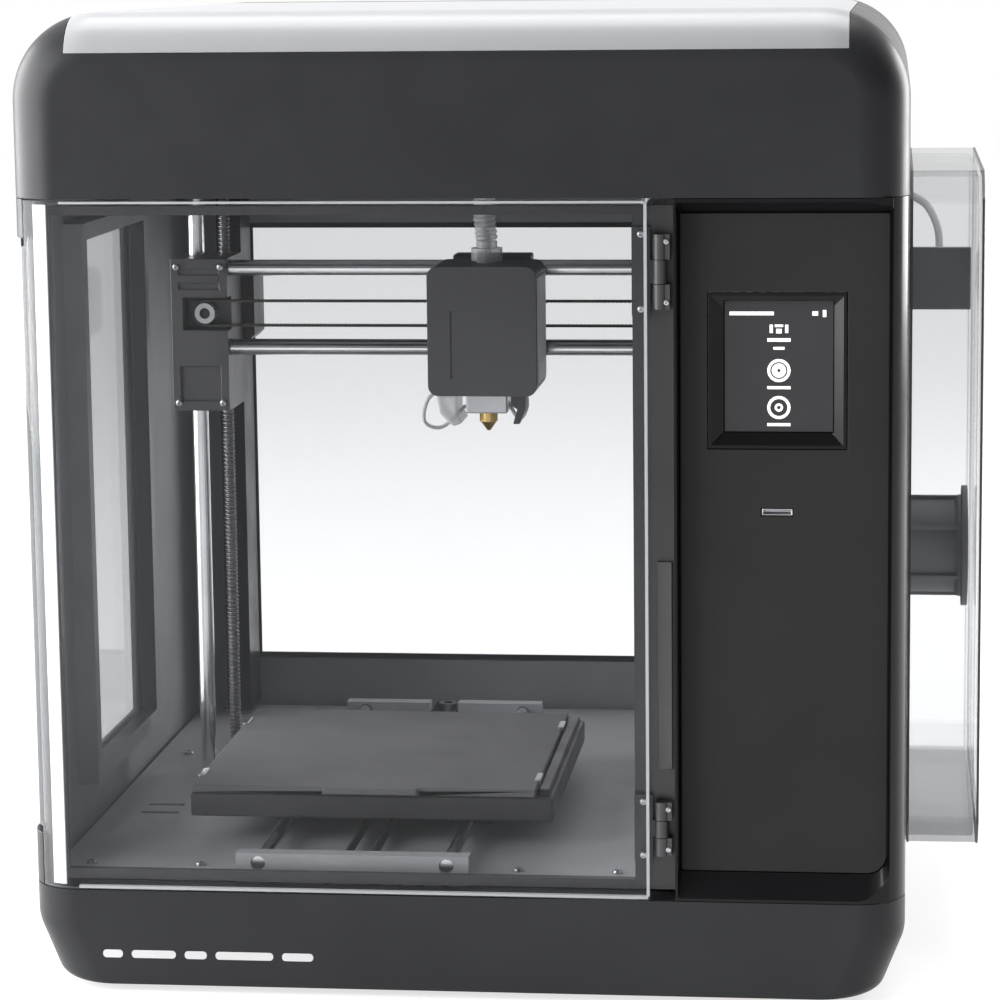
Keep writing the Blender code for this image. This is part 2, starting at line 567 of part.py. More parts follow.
def build_head():
    x, y = HEAD_X, HEAD_Y
    part("x_carriage", box_mesh((x - 19, 5, 253), (x + 19, 19, 307), bevel=1.0), "black_plastic",
         at=(0, 0, RISE),
         cut=[*[cylinder_mesh((x, X_ROD_Y, z), ROD + GAP, 80, "X") for z in X_RODS.values()],
              box_mesh((x - 30, 6.8, BELT_Z - 8), (x + 30, 15.2, BELT_Z + 8))])
    part("extruder_cover", box_mesh((x - 26, -38, 243), (x + 26, 4.6, 305), bevel=4.0, segments=3),
         "black_plastic", at=(0, 0, RISE),
         cut=[box_mesh((x - 23.5, -35.5, 235), (x + 23.5, 10, 302.5)),
              cylinder_mesh((x, y, 304), 5.5, 10)])
    part("extruder_body", box_mesh((x - 17, -26, 256), (x + 17, 4.4, 296), bevel=1.0),
         "black_plastic", at=(0, 0, RISE),
         add=[cylinder_mesh((x, y, 252), 8, 10)],
         cut=[cylinder_mesh((x, y, 270), 1.5, 80, sides=12)])
    part("fan_rotor", cylinder_mesh((0, 0, 0), 6, 5, "Y", 20), "black_plastic",
         add=[box_mesh((-13, -1.5, -2), (13, 1.6, 2)), box_mesh((-2.2, -1.8, -13), (2.2, 1.9, 13))],
         at=(x, -31, 274 + RISE))
    part("heater_block", box_mesh((x - 10, y - 8, 233), (x + 10, y + 8, 246.7), bevel=0.8),
         "aluminium", at=(0, 0, RISE), cut=[cylinder_mesh((x, y, 240), 1.5, 30, sides=12)])
    part("nozzle", cylinder_mesh((x, y, 226.2), 0.9, 4.4, tip=4.0, sides=20), "brass",
         at=(0, 0, RISE),
         add=[cylinder_mesh((x, y, 230.5), 4.4, 4.4, sides=6)],
         cut=[cylinder_mesh((x, y, 230), 0.5, 30, sides=8)])
    duct = [(x - 24, 242.6), (x - 14, 242.6), (x - 14, 234), (x - 11, 229), (x - 16, 227),
            (x - 22, 233)]
    part("fan_duct", outline_mesh(duct, y - 12, y + 12), "translucent_plastic", at=(0, 0, RISE))
    lever = [(0, 0), (7, 0), (7, -6), (4, -13), (1, -13), (3, -6), (0, -4)]
    part("release_lever", outline_mesh(lever, -3, 3), "black_plastic",
         at=(x + 13, -30, 242.6 + RISE))
    part("tube_fitting", cylinder_mesh((x, y, 306), 5, 18.6), "translucent_plastic",
         at=(0, 0, RISE),
         add=[cylinder_mesh((x, y, 309), 7.5, 6)],
         cut=[cylinder_mesh((x, y, 305), 2.2, 40, sides=12)])
    sleeve = [(x, y, 315.8), (x - 1, y + 0.5, 335), (x + 4, y + 4, 362), (x + 20, y + 12, 386),
              (x + 44, y + 18, 394), (x + 66, y + 22, 378), (x + 79, y + 23, 350),
              (54, 10, 328), (54, 10, 312.5)]
    made = tube_object("cable_sleeve", smooth_route(sleeve), 5.5, "translucent_plastic")
    made.location.z = RISE * MM


for old in list(bpy.data.objects):
    bpy.data.objects.remove(old)
for group in (parts, cutters):
    bpy.context.scene.collection.children.link(group)
materials = {name: material(name, *values) for name, values in PALETTE.items()}
build_housing()
build_door()
build_lid_and_cover()
build_column()
build_electronics()
build_z_axis()
build_bed()
build_gantry()
build_head()
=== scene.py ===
"""Looks of the enclosed desktop 3-D printer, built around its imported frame.

Shapes are drawn in millimetres in the frame's own axes and turned into metres when a
piece is made.  The front faces -Y.
"""
import json
import math

import bmesh
import bpy
from mathutils import Matrix, Vector


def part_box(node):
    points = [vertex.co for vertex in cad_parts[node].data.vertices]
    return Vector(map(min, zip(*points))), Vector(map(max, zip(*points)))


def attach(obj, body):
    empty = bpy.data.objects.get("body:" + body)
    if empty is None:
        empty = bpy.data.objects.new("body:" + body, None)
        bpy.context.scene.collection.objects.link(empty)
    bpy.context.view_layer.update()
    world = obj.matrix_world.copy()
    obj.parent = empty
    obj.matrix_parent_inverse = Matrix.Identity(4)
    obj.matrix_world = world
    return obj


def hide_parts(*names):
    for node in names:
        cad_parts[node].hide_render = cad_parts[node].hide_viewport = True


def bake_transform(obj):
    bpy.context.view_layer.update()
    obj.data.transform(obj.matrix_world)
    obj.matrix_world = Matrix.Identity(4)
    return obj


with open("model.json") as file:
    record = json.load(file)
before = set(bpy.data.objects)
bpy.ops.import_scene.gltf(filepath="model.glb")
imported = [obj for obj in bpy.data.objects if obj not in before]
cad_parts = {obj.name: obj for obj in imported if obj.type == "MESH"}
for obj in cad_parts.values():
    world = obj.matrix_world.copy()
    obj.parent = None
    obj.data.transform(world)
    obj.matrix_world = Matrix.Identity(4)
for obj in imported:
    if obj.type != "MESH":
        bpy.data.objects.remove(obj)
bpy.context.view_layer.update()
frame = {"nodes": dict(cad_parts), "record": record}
MM = 0.001


def node_box(name):
    """Lowest and highest corners of a frame node, in millimetres."""
    low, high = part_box(name)
    return low / MM, high / MM


# ------------------------------------------------------------------ driving sizes

BASE_LOW, BASE_HIGH = node_box("base_housing")
HEAD_LOW, HEAD_HIGH = node_box("top_housing")
LEFT, RIGHT = BASE_LOW.x, BASE_HIGH.x
FRONT, BACK = BASE_LOW.y, BASE_HIGH.y
BOTTOM, TOP = BASE_LOW.z + 3.0, HEAD_HIGH.z
CHIN_TOP, HEADER_BOTTOM = BASE_HIGH.z, HEAD_LOW.z
WALL, GAP = 3.0, 0.3
TOP_CORNER = 38.0
LEAN = 22.0                             # degrees off vertical of the slope below each side
SIDE_ROUND, SIDE_ROUND_Z = 20.0, 33.9   # where the side turns into the slope
FOOT_ROUND, FOOT_REACH = 8.0, 16.3      # where the slope turns into the underside
FRONT_FILLET, BACK_FILLET = 22.0, 6.0
SIDE_LOW, SIDE_HIGH = CHIN_TOP + GAP, HEADER_BOTTOM - GAP
FLOOR_TOP = 49.3
FEET = [(x, y) for x in (-165, 130) for y in (-150, 150)]

LEFT_WINDOW = (-88, 29, 80, 328)        # y, y, z, z
REAR_WINDOW = (-174, 55, 78, 312)       # x, x, z, z
REBATE = 3                              # the glazing's seat is this much larger all round
LID_LEFT, LID_RIGHT, LID_BACK, LID_SEAM = -184, 152, 150, 416.0
DOOR_EDGE, DOOR_JAMB = -205.3, 67       # left and right limits of the glazing
DOOR_INSIDE = -179.9
FASCIA_BOX = (80.0, 170.0, 57.8, 346.6)     # x, x, z, z
FASCIA_FACE, FASCIA_THICKNESS = -174.8, 3
BEZEL = (92.0, 152.0, 245.0, 313.0)         # x, x, z, z
STICK_SLOT = (115, 129, 216, 219.5)         # x, x, z, z

LEFT_ROD, LEFT_SCREW = (-172.5, 28), (-158.5, 28)
RIGHT_ROD, RIGHT_SCREW = (54, 24), (54, 36)
ROD_HOLE, SCREW_HOLE = 4.3, 3.3
RISE = 6.0      # rest height of gantry and head above the height they are drawn at
CROSS_ROD_HEIGHTS = (300 + RISE, 261 + RISE)
CROSS_ROD_Y = 12
HEAD_X, HEAD_Y = -22.4, -14.0
BELT_Z = 277.8 + RISE
PULLEYS = {"drive": -165.0, "idler": 54.0}  # x of each pulley of the head's belt
PULLEY_Y = 11
COVER_WALL = 2.4
HUB_Y, HUB_Z = 1, 173.0


# ------------------------------------------------------------------ materials

def new_tree(name):
    made = bpy.data.materials.new(name)
    made.use_nodes = True
    tree = made.node_tree
    tree.nodes.clear()
    output = tree.nodes.new("ShaderNodeOutputMaterial")
    return made, tree, output


def noise(tree, scale, detail=4.0, stretch=(1, 1, 1)):
    """A noise texture in the piece's own metres."""
    place = tree.nodes.new("ShaderNodeTexCoord")
    mapping = tree.nodes.new("ShaderNodeMapping")
    mapping.inputs["Scale"].default_value = stretch
    texture = tree.nodes.new("ShaderNodeTexNoise")
    texture.inputs["Scale"].default_value = scale
    texture.inputs["Detail"].default_value = detail
    tree.links.new(place.outputs["Object"], mapping.inputs["Vector"])
    tree.links.new(mapping.outputs["Vector"], texture.inputs["Vector"])
    return texture


def spread(tree, texture, low, high, start=0.3, end=0.7):
    remap = tree.nodes.new("ShaderNodeMapRange")
    remap.inputs["From Min"].default_value = start
    remap.inputs["From Max"].default_value = end
    remap.inputs["To Min"].default_value = low
    remap.inputs["To Max"].default_value = high
    tree.links.new(texture.outputs["Fac"], remap.inputs["Value"])
    return remap.outputs["Result"]


def principled(tree, colour, roughness, metallic=0.0, grain=600.0, bump=0.12, shade=0.12,
               patch=14.0, stretch=(1, 1, 1), smear=0.06, **sockets):
    """A surface with slow colour variation, uneven gloss and a fine moulded grain."""
    shader = tree.nodes.new("ShaderNodeBsdfPrincipled")
    shader.inputs["Metallic"].default_value = metallic
    for socket, value in sockets.items():
        shader.inputs[socket.replace("_", " ")].default_value = value
    ramp = tree.nodes.new("ShaderNodeValToRGB")
    ramp.color_ramp.elements[0].position = 0.3
    ramp.color_ramp.elements[1].position = 0.7
    ramp.color_ramp.elements[0].color = (*[c * (1 - shade) for c in colour], 1)
    ramp.color_ramp.elements[1].color = (*[min(1, c * (1 + shade)) for c in colour], 1)
    tree.links.new(noise(tree, patch).outputs["Fac"], ramp.inputs["Fac"])
    tree.links.new(ramp.outputs["Color"], shader.inputs["Base Color"])
    gloss = noise(tree, patch * 3.1, 6.0, stretch)
    tree.links.new(spread(tree, gloss, max(0.01, roughness - smear), roughness + smear),
                   shader.inputs["Roughness"])
    if bump:
        relief = tree.nodes.new("ShaderNodeBump")
        relief.inputs["Strength"].default_value = bump
        relief.inputs["Distance"].default_value = 0.0002
        tree.links.new(noise(tree, grain, 3.0, stretch).outputs["Fac"], relief.inputs["Height"])
        tree.links.new(relief.outputs["Normal"], shader.inputs["Normal"])
    return shader


def solid(name, colour, roughness, **options):
    made, tree, output = new_tree(name)
    shader = principled(tree, colour, roughness, **options)
    tree.links.new(shader.outputs[0], output.inputs["Surface"])
    return made


def see_through(name, tint, body, least, most, roughness=0.05):
    """Clear or milky plastic: mostly transparent face on, more of a surface edge on."""
    made, tree, output = new_tree(name)
    shader = principled(tree, body, roughness, bump=0.0, smear=0.02, shade=0.03, patch=9.0,
                        IOR=1.49)
    through = tree.nodes.new("ShaderNodeBsdfTransparent")
    through.inputs["Color"].default_value = (*tint, 1)
    weight = tree.nodes.new("ShaderNodeLayerWeight")
    weight.inputs["Blend"].default_value = 0.35
    remap = tree.nodes.new("ShaderNodeMapRange")
    remap.inputs["To Min"].default_value = least
    remap.inputs["To Max"].default_value = most
    mix = tree.nodes.new("ShaderNodeMixShader")
    tree.links.new(weight.outputs["Facing"], remap.inputs["Value"])
    tree.links.new(remap.outputs["Result"], mix.inputs["Fac"])
    tree.links.new(through.outputs[0], mix.inputs[1])
    tree.links.new(shader.outputs[0], mix.inputs[2])
    tree.links.new(mix.outputs[0], output.inputs["Surface"])
    return made


HOUSING = solid("housing_plastic", (0.0235, 0.0242, 0.0265), 0.36, bump=0.10, grain=900,
                Specular_IOR_Level=0.2)
INNER = solid("inner_wall_plastic", (0.30, 0.305, 0.32), 0.5, bump=0.12, grain=900)
CHAMBER = solid("chamber_plastic", (0.47, 0.475, 0.5), 0.5, bump=0.12, grain=900)
FASCIA = solid("fascia_plastic", (0.0185, 0.0185, 0.019), 0.5, bump=0.14, grain=1200,
               Specular_IOR_Level=0.2)
GLOSS = solid("gloss_black", (0.005, 0.005, 0.006), 0.2, bump=0.03, smear=0.04, shade=0.2,
              Specular_IOR_Level=0.2)
BLACK = solid("black_plastic", (0.048, 0.048, 0.051), 0.4, bump=0.12)
HEAD = solid("head_plastic", (0.075, 0.075, 0.079), 0.42, bump=0.12)
HUB = solid("hub_plastic", (0.27, 0.273, 0.285), 0.45, bump=0.12)
RUBBER = solid("foot_rubber", (0.02, 0.02, 0.02), 0.8, bump=0.3, grain=400)
SCREEN = solid("screen_glass", (0.036, 0.036, 0.039), 0.12, bump=0.0, smear=0.03, shade=0.08,
               Specular_IOR_Level=0.25)
CHROME = solid("steel_rod", (0.8, 0.81, 0.83), 0.2, metallic=1.0, bump=0.05, grain=300, smear=0.05)
THREAD = solid("screw_steel", (0.22, 0.22, 0.23), 0.34, metallic=1.0, bump=0.05)
SCREWS = solid("screw_heads", (0.5, 0.5, 0.52), 0.3, metallic=1.0, bump=0.05)
ALUMINIUM = solid("aluminium", (0.6, 0.61, 0.63), 0.36, metallic=1.0, bump=0.1, grain=250,
                  stretch=(1, 8, 1))
BRASS = solid("brass", (0.66, 0.46, 0.17), 0.28, metallic=1.0, bump=0.06)
MOTOR = solid("motor_case", (0.03, 0.03, 0.033), 0.42, metallic=0.4, bump=0.1)
BELT = solid("belt_rubber", (0.02, 0.02, 0.02), 0.75, bump=0.3)
PLATE = solid("build_surface", (0.16, 0.16, 0.17), 0.62, bump=0.5, grain=1600)
BOARD = solid("circuit_board", (0.015, 0.10, 0.045), 0.45, bump=0.15)
PALE = solid("pale_print", (0.62, 0.62, 0.63), 0.5, bump=0.0, shade=0.05)
MILKY = see_through("translucent_plastic", (0.93, 0.93, 0.93), (0.75, 0.76, 0.77), 0.45, 0.85, 0.3)
CLEAR = see_through("clear_acrylic", (0.915, 0.918, 0.922), (0.4, 0.41, 0.42), 0.01, 0.6)
COVER = see_through("cover_acrylic", (0.925, 0.928, 0.932), (0.16, 0.165, 0.175), 0.02, 0.7)
# Near-white see-through surface for the door's edge strips: painted highlight where the clear door's edges
# catch light.
PAINTED_HIGHLIGHT = see_through("painted_highlight_edge", (0.9, 0.92, 0.93), (0.86, 0.88, 0.89), 0.55, 0.95, 0.2)
LID = see_through("frosted_lid", (0.9, 0.9, 0.91), (0.37, 0.375, 0.39), 0.9, 0.97, 0.3)

glow_material, glow_tree, glow_output = new_tree("screen_glow")
glow_shader = principled(glow_tree, (0.8, 0.8, 0.8), 0.5, bump=0.0,
                         Emission_Color=(1, 1, 1, 1), Emission_Strength=0.55)
glow_tree.links.new(glow_shader.outputs[0], glow_output.inputs["Surface"])
GLOW = glow_material

NODE_MATERIALS = {
    HOUSING: "base_housing left_side_panel top_housing rear_panel right_side_panel",
    FASCIA: "control_panel",
    GLOSS: "control_surround screen_bezel",
    CHAMBER: "chamber_floor",
    INNER: "spool_bay_tray partition_wall",
    CLEAR: "left_window rear_window door_panel",
    COVER: "spool_cover",
    LID: "lid_panel",
    SCREEN: "touch_screen",
    CHROME: "z_rod_left z_rod_right bed_rod_left bed_rod_right x_rod_upper x_rod_lower",
    THREAD: "lead_screw_left lead_screw_right",
    MOTOR: "z_motor_left z_motor_right y_motor x_motor",
    ALUMINIUM: "power_supply heater_block x_drive_pulley x_idler_pulley y_drive_pulley",
    BRASS: "nozzle",
    PLATE: "build_plate",
    BOARD: "main_board",
    BELT: "y_belt x_belt",
    MILKY: "fan_duct tube_fitting cable_sleeve",
}
slot_of = {s["node"]: s["material_slot"] for s in frame["record"]["subparts"]}
for node in frame["nodes"].values():
    node.data.materials.clear()
    node.data.materials.append(BLACK)
for finish_of, names in NODE_MATERIALS.items():
    for name in names.split():
        frame["nodes"][name].data.materials[0] = finish_of


# ------------------------------------------------------------------ meshes

def box_mesh(low, high, taper=None):
    """Box between two corners; taper=(axis, end, {axis: inset}) narrows one end."""
    mesh = bpy.data.meshes.new("box")
    work = bmesh.new()
    bmesh.ops.create_cube(work, size=1.0)
    low, high = Vector(low), Vector(high)
    middle = (low + high) / 2
    for vertex in work.verts:
        vertex.co = Vector([h if c > 0 else l for c, l, h in zip(vertex.co, low, high)])
    if taper:
        axis, end, insets = taper
        for vertex in work.verts:
            if (vertex.co[axis] > middle[axis]) == (end > 0):
                for other, inset in insets.items():
                    vertex.co[other] += inset if vertex.co[other] < middle[other] else -inset
    work.to_mesh(mesh)
    work.free()
    return mesh


TURNS = {"X": Matrix.Rotation(math.pi / 2, 4, "Y"), "Y": Matrix.Rotation(-math.pi / 2, 4, "X"),
         "Z": Matrix.Identity(4)}


def rod_mesh(centre, radius, length, axis="Z", sides=48, tip=None):
    """Cylinder or cone frustum centred on a point."""
    mesh = bpy.data.meshes.new("rod")
    work = bmesh.new()
    bmesh.ops.create_cone(work, cap_ends=True, segments=sides, radius1=radius,
                          radius2=radius if tip is None else tip, depth=length)
    bmesh.ops.transform(work, matrix=Matrix.Translation(centre) @ TURNS[axis], verts=work.verts)
    work.to_mesh(mesh)
    work.free()
    return mesh


def loft_mesh(rings, inner=False, looped=False):
    """Closed skin through rings of points with equal counts, ended or joined end to end."""
    work = bmesh.new()
    rings = [[work.verts.new(point) for point in ring] for ring in rings]
    for near, far in zip(rings, rings[1:] + (rings[:1] if looped else [])):
        for i in range(len(near)):
            work.faces.new((near[i - 1], near[i], far[i], far[i - 1]))
    if not looped:
        work.faces.new(rings[0])
        work.faces.new(rings[-1])
    bmesh.ops.recalc_face_normals(work, faces=work.faces)
    if inner:
        bmesh.ops.reverse_faces(work, faces=work.faces[:])
        for face in work.faces:
            face.material_index = 1
    mesh = bpy.data.meshes.new("loft")
    work.to_mesh(mesh)
    work.free()
    return mesh


STANDS = {"Z": lambda u, v, w: (u, v, w), "Y": lambda u, v, w: (u, w, v),
          "X": lambda u, v, w: (w, u, v)}


def outline_mesh(points, low, high, axis="Y"):
    """Prism of an outline: (x, z) points for axis Y, (y, z) for X, (x, y) for Z."""
    return loft_mesh([[STANDS[axis](u, v, w) for u, v in points] for w in (low, high)])


def turned_mesh(profile, centre, axis="Z", sides=48, bored=False):
    """Turned solid: (radius, height) points from one end to the other on the axis, or
    all the way round its section where it is bored through."""
    rings = []
    for radius, height in profile:
        rings.append([(radius * math.cos(2 * math.pi * i / sides),
                       radius * math.sin(2 * math.pi * i / sides), height)
                      for i in range(sides)])
    mesh = loft_mesh(rings, looped=bored)
    mesh.transform(Matrix.Translation(centre) @ TURNS[axis])
    return mesh


def inward(mesh):
    """The same mesh in the second material, the one of the inner walls."""
    for face in mesh.polygons:
        face.material_index = 1
    return mesh


def joined(meshes):
    """Several closed solids as one mesh."""
    work = bmesh.new()
    for mesh in meshes:
        work.from_mesh(mesh)
    mesh = bpy.data.meshes.new("joined")
    work.to_mesh(mesh)
    work.free()
    return mesh


def tube_mesh(route, radius, sides=12, wave=None):
    """Round bar along a route, with ends closed; wave(i) scales the radius at point i."""
    points = [Vector(p) for p in route]
    rings, side = [], None
    for i, point in enumerate(points):
        along = (points[min(i + 1, len(points) - 1)] - points[max(i - 1, 0)]).normalized()
        if side is None:
            side = along.orthogonal().normalized()
        side = (side - along * side.dot(along)).normalized()
        over = along.cross(side)
        size = radius * (wave(i) if wave else 1)
        rings.append([point + size * (math.cos(a) * side + math.sin(a) * over)
                      for a in (2 * math.pi * k / sides for k in range(sides))])
    return loft_mesh(rings)


def smooth_route(points, steps=8):
    """Catmull-Rom points through a list of places."""
    places = [Vector(p) for p in points]
    ends = [places[0] * 2 - places[1], *places, places[-1] * 2 - places[-2]]
    route = []
    for a, b, c, d in zip(ends, ends[1:], ends[2:], ends[3:]):
        for i in range(steps):
            t = i / steps
            route.append(0.5 * (2 * b + (c - a) * t + (2 * a - 5 * b + 4 * c - d) * t * t
                                + (3 * b - a - 3 * c + d) * t ** 3))
    return [*route, places[-1]]


def boolean(base, tool, operation):
    modifier = base.modifiers.new(operation, "BOOLEAN")
    modifier.operation = operation
    modifier.solver = "EXACT"
    modifier.object = tool


def evaluated_mesh(thing):
    bpy.context.view_layer.update()
    return bpy.data.meshes.new_from_object(
        thing.evaluated_get(bpy.context.evaluated_depsgraph_get()))


def piece(name, mesh, materials, body="root", replaces=(), slot=None, keep=(), add=(), cut=(),
          then_add=(), edge=0.0, sharp=35.0, segments=2):
    """One visible piece: its solid, limited, joined and cut, with softened edges."""
    materials = materials if isinstance(materials, (list, tuple)) else [materials]
    for material in materials:
        mesh.materials.append(material)
    work = bpy.data.objects.new("work", mesh)
    bpy.context.scene.collection.objects.link(work)
    tools = []
    for operation, solids in (("INTERSECT", keep), ("UNION", add), ("DIFFERENCE", cut),
                              ("UNION", then_add)):
        for shape in solids:
            for material in materials:
                shape.materials.append(material)
            tools.append(bpy.data.objects.new("tool", shape))
            bpy.context.scene.collection.objects.link(tools[-1])
            boolean(work, tools[-1], operation)
    final = evaluated_mesh(work) if tools else mesh
    for helper in (work, *tools):
        bpy.data.objects.remove(helper)
    final.transform(Matrix.Scale(MM, 4))
    final.name = name
    final.shade_smooth()
    final.set_sharp_from_angle(angle=math.radians(sharp))
    made = bpy.data.objects.new(name, final)
    bpy.context.scene.collection.objects.link(made)
    if edge:
        soften = made.modifiers.new("edges", "BEVEL")
        soften.width = edge * MM
        soften.segments = segments
        soften.limit_method = "ANGLE"
        soften.angle_limit = math.radians(40)
        soften.harden_normals = False
        level = made.modifiers.new("normals", "WEIGHTED_NORMAL")
        level.keep_sharp = True
    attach(made, body)
    if replaces:
        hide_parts(*replaces)
        slot = slot or slot_of[replaces[0]]
    return made


def screws(name, places, radius, axis, body, outwards=1, material=None, height=None):
    """Pan-head screws with a round hollow in the top, all on one body."""
    height = height or radius * 0.7
    heads = []
    for place in places:
        profile = [(radius, 0), (radius, height * 0.35), (radius * 0.86, height * 0.8),
                   (radius * 0.5, height), (radius * 0.42, height * 0.45), (0.05, height * 0.4)]
        head = turned_mesh(profile, (0, 0, 0), "Z", 20)
        if outwards < 0:
            head.transform(Matrix.Rotation(math.pi, 4, "X"))
        head.transform(Matrix.Translation(place) @ TURNS[axis])
        heads.append(head)
    return piece(name, joined(heads), material or SCREWS, body)


# ------------------------------------------------------------------ housing

def corner(cx, cz, radius, start, sweep=90.0, steps=18):
    return [(cx + radius * math.cos(math.radians(start + sweep * i / steps)),
             cz + radius * math.sin(math.radians(start + sweep * i / steps)))
            for i in range(steps + 1)]


def rounded(x0, x1, z0, z1, radius, steps=8):
    """Rectangle with four equal rounded corners."""
    return (corner(x1 - radius, z1 - radius, radius, 0, steps=steps)
            + corner(x0 + radius, z1 - radius, radius, 90, steps=steps)
            + corner(x0 + radius, z0 + radius, radius, 180, steps=steps)
            + corner(x1 - radius, z0 + radius, radius, 270, steps=steps))


def housing_outline(inset, draw_in):
    left, right = LEFT + inset + draw_in, RIGHT - inset - draw_in
    low, high = BOTTOM + inset, TOP - inset - draw_in
    top, side, foot = TOP_CORNER - inset - draw_in, SIDE_ROUND - inset, FOOT_ROUND - inset
    reach = FOOT_REACH - inset
    return (corner(right - top, high - top, top, 0)
            + corner(left + top, high - top, top, 90)
            + corner(left + side, SIDE_ROUND_Z, side, 180, LEAN, 6)
            + corner(left + reach, low + foot, foot, 180 + LEAN, 90 - LEAN, 10)
            + corner(right - reach, low + foot, foot, 270, 90 - LEAN, 10)
            + corner(right - side, SIDE_ROUND_Z, side, 360 - LEAN, LEAN, 6))


def housing_form(inset):
    """The machine's form as a loft of its outline along the front and back fillets."""
    sections = []
    for radius, face, inwards, steps in ((FRONT_FILLET - inset, FRONT + inset, 1, 16),
                                         (BACK_FILLET - inset, BACK - inset, -1, 6)):
        arc = [(face + inwards * radius * (1 - math.cos(math.pi / 2 * i / steps)),
                radius * (1 - math.sin(math.pi / 2 * i / steps))) for i in range(steps + 1)]
        sections += arc if inwards > 0 else reversed(arc)
    rings = [[(x, y, z) for x, z in housing_outline(inset, draw_in)] for y, draw_in in sections]
    return loft_mesh(rings, inner=inset > 0)


def housing_shell(wall=WALL):
    return joined([housing_form(0.0), housing_form(wall)])


def build_housing():
    skin = [HOUSING, INNER]
    feet = [rod_mesh((x, y, 2.5), 11, 5.0) for x, y in FEET]
    piece("base_shell", housing_shell(), skin, replaces=["base_housing"], edge=0.6,
          keep=[box_mesh((-220, -190, -5), (220, 190, CHIN_TOP))],
          add=[box_mesh((-188, -179.8, 42.5), (160, -166, CHIN_TOP)), *feet],
          cut=[box_mesh((86, 170, 12), (114, 190, 34)),
               box_mesh((121.5, 170, 13.5), (136.5, 190, 36.5)),
               *[box_mesh((x, 178, 15), (x + 3, 186, 32)) for x in range(-120, -20, 7)]])
    pad = [(0.1, 0.02), (9.2, 0.02), (9.8, 0.5), (9.8, 2.6), (0.1, 2.6)]
    piece("foot_pads", joined([turned_mesh(pad, (x, y, 0)) for x, y in FEET]), RUBBER,
          slot="black_plastic")

    ledge = box_mesh((-192, -179, 410), (160, 158, 413))
    piece("top_shell", housing_shell(), skin, replaces=["top_housing"], edge=0.6,
          keep=[box_mesh((-220, -190, HEADER_BOTTOM), (220, 190, 440))],
          add=[box_mesh((-188, -179.8, HEADER_BOTTOM), (160, -168, HEADER_BOTTOM + 3)), ledge,
               *[box_mesh((x, 143, 408), (x + 12, 162, 426)) for x in (-150, 106)]],
          cut=[box_mesh((LID_LEFT - GAP, -190, LID_SEAM - GAP),
                        (LID_RIGHT + GAP, LID_BACK + GAP, 440)),
               box_mesh((-174, -160, 405), (142, 138, 420))])

    y0, y1, z0, z1 = LEFT_WINDOW
    piece("left_shell", housing_shell(), skin, replaces=["left_side_panel"], edge=0.4,
          keep=[outline_mesh([(-220, -190), (-205.6, -190), (-205.6, -160.5), (-180, -160.5),
                              (-180, 190), (-220, 190)], SIDE_LOW, SIDE_HIGH, "Z")],
          add=[inward(box_mesh((-209, -96, 72), (-199, 37, 336))),
               box_mesh((-209, 8, 342), (-150, 44, 350))],
          cut=[box_mesh((-220, y0, z0), (-190, y1, z1)),
               box_mesh((-209.3, y0 - REBATE, z0 - REBATE), (-206.7, y1 + REBATE, z1 + REBATE)),
               box_mesh((-220, -182, 70), (-203, -158, 336)),
               rod_mesh((*LEFT_ROD, 345), ROD_HOLE, 30),
               rod_mesh((*LEFT_SCREW, 345), SCREW_HOLE, 30)])

    vents = [box_mesh((x, 175, low), (x + 3, 190, high)) for low, high in ((322, 344), (60, 100))
             for x in range(72, 150, 7)]
    x0, x1, z0, z1 = REAR_WINDOW
    piece("rear_shell", housing_shell(), skin, replaces=["rear_panel"], edge=0.4,
          keep=[box_mesh((-180 + GAP, 170, SIDE_LOW), (164.7, 190, SIDE_HIGH))],
          add=[box_mesh((-188, 152, 52), (-175, 179.2, 350)),
               box_mesh((-179.5, 170, 60), (-175.2, 180.5, 340))],
          cut=[box_mesh((x0, 150, z0), (x1, 190, z1)),
               box_mesh((x0 - REBATE, 179.5, z0 - REBATE), (x1 + REBATE, 181.5, z1 + REBATE)),
               *vents])

    piece("right_shell", housing_shell(), skin, replaces=["right_side_panel"], edge=0.4,
          keep=[box_mesh((165, -150, SIDE_LOW), (220, 190, SIDE_HIGH))],
          cut=[box_mesh((160, -90, 65), (190, 92, 269)), box_mesh((160, -6, 290), (190, 6, 302))])


def column_outline(left, right, low, high, round_corner):
    """Outline of the fascia or its mouth, with a rounded lower right corner."""
    x0, x1, z0, z1 = (at + by for at, by in zip(FASCIA_BOX, (left, right, low, high)))
    return (corner(x1 - 1, z1 - 1, 1, 0, steps=3) + corner(x0 + 1, z1 - 1, 1, 90, steps=3)
            + corner(x0 + 1, z0 + 1, 1, 180, steps=3)
            + corner(x1 - round_corner, z0 + round_corner, round_corner, 270, steps=14))


